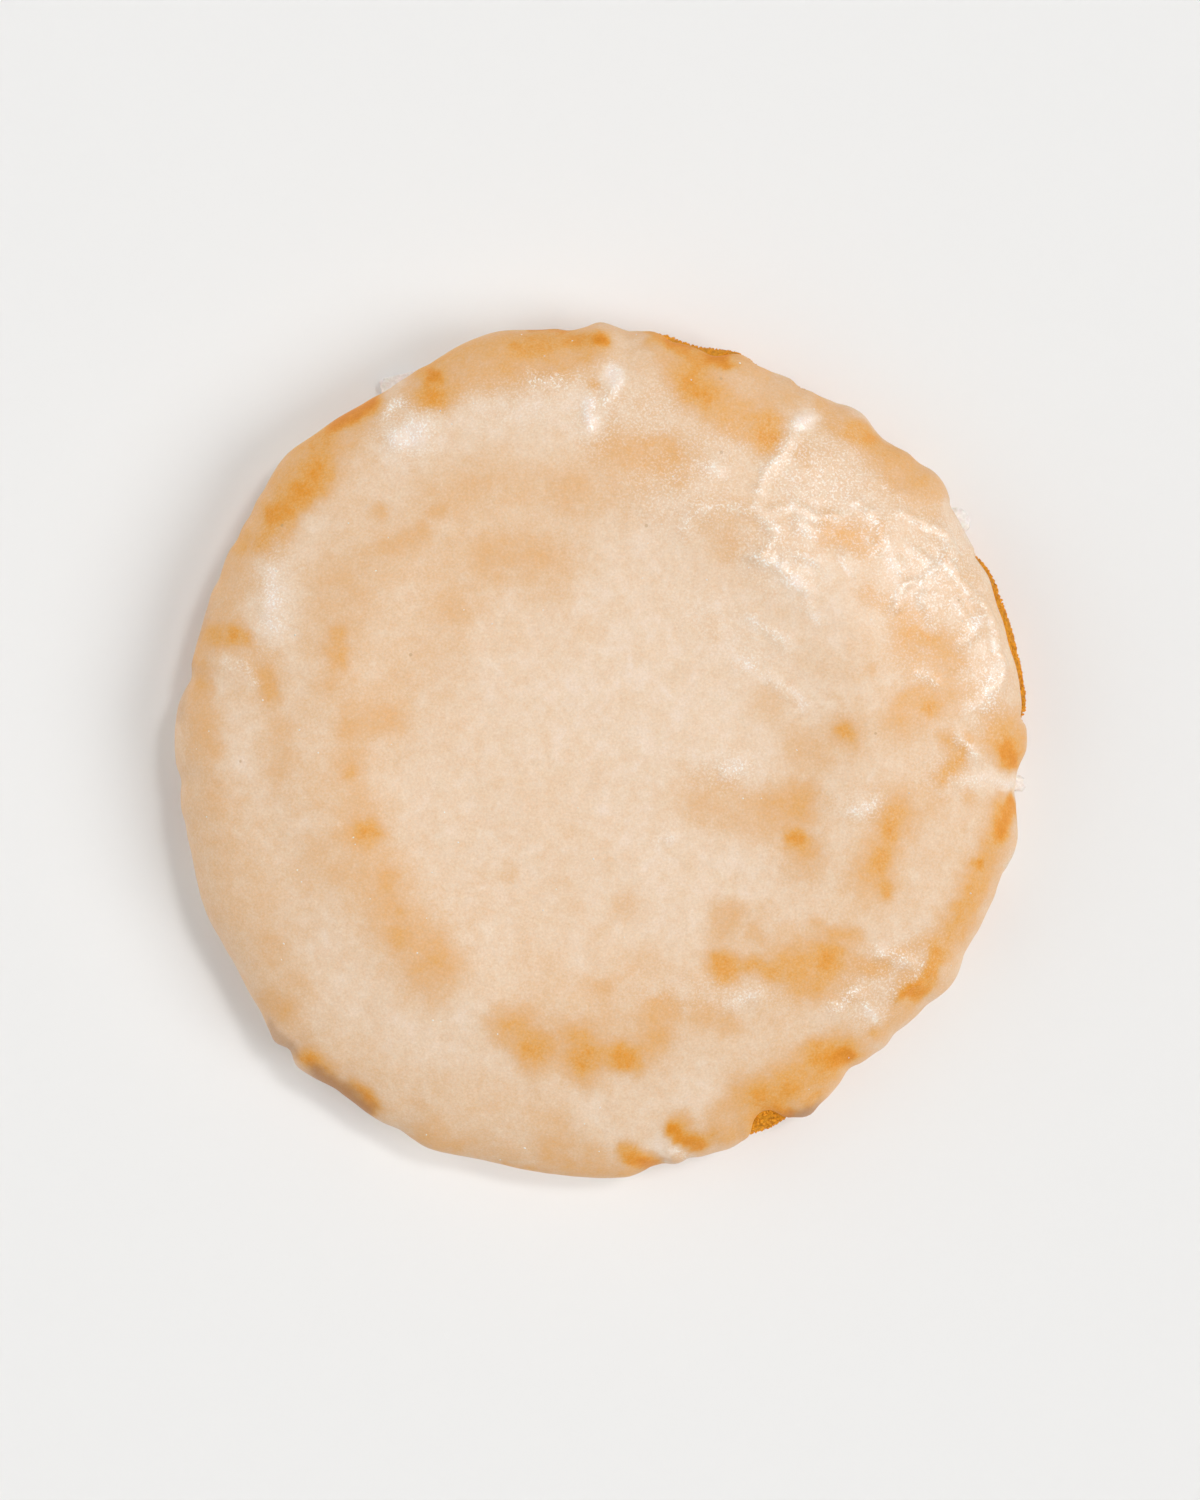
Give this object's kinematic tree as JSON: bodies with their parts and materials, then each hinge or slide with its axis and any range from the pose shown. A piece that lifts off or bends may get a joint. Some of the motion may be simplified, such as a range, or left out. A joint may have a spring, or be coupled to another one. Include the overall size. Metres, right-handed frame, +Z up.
{
  "type": "glazed cookie",
  "caption": "Round baked cookie with a low domed top, covered by a thin poured sugar glaze with an uneven hem; lies on its flat base.",
  "frame": {"origin": "middle of the bounding box at the height of the flat base", "axes": "+Z points up through the glazed top; +X and +Y span the round, which has no front"},
  "size_m": [0.0899, 0.0902, 0.015],
  "materials": {
    "baked_crumb": "matte",
    "sugar_glaze": "satin"
  },
  "bodies": {
    "root": {"baked_cookie": "baked_crumb", "sugar_glaze": "sugar_glaze"}
  },
  "joints": []
}
